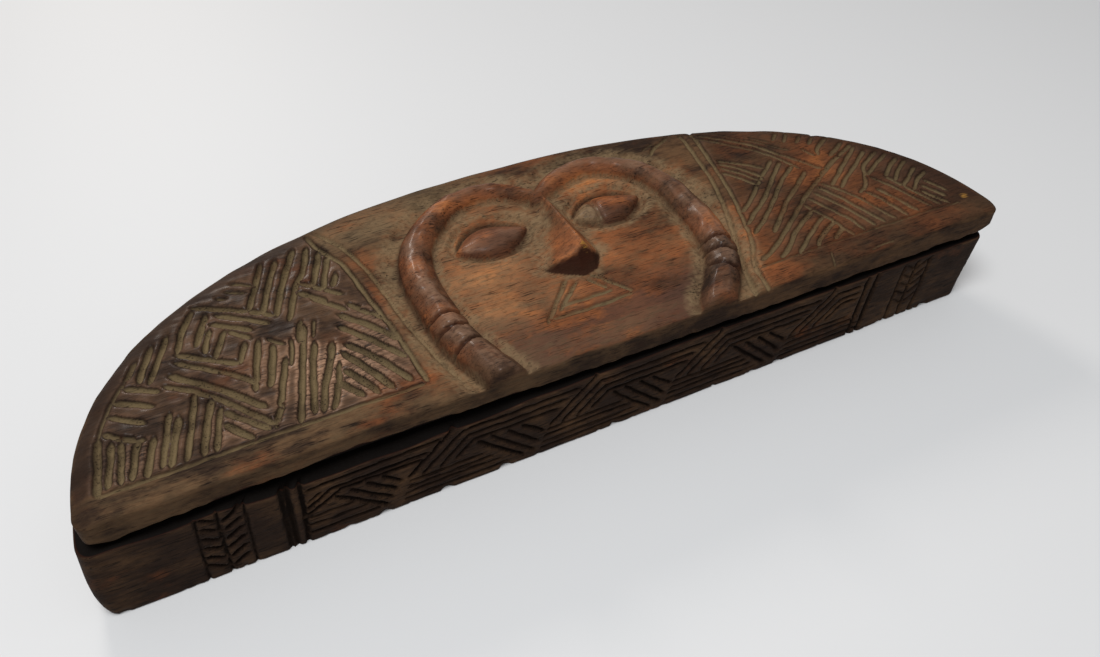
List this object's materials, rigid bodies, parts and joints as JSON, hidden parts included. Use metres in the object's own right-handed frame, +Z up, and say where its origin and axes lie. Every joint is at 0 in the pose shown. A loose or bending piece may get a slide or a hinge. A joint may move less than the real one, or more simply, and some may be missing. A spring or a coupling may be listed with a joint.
{
  "type": "half-moon powder box",
  "caption": "Flat half-moon wooden powder box with a hollowed body and a loose lid carved with a stylised face in relief.",
  "frame": {"origin": "centre of the box's outline, on the plane it rests on", "axes": "+X along the straight front edge, towards the right hand of someone facing it; +Y towards the curved back; +Z up"},
  "size_m": [0.304, 0.098, 0.0444],
  "materials": {
    "body_wood": "dark handled wood, dull, with dust in the cuts",
    "lid_wood": "dark handled wood, worn red-brown and softly polished on the raised forms, khaki dust in the cuts"
  },
  "bodies": {
    "body": {"box_body": "body_wood"},
    "lid": {"lid": "lid_wood"}
  },
  "joints": [
    {"name": "lid_lift", "type": "slide", "parent": "body", "child": "lid", "axis": [0, 0, 1], "range_m": [0, 0.08]}
  ]
}
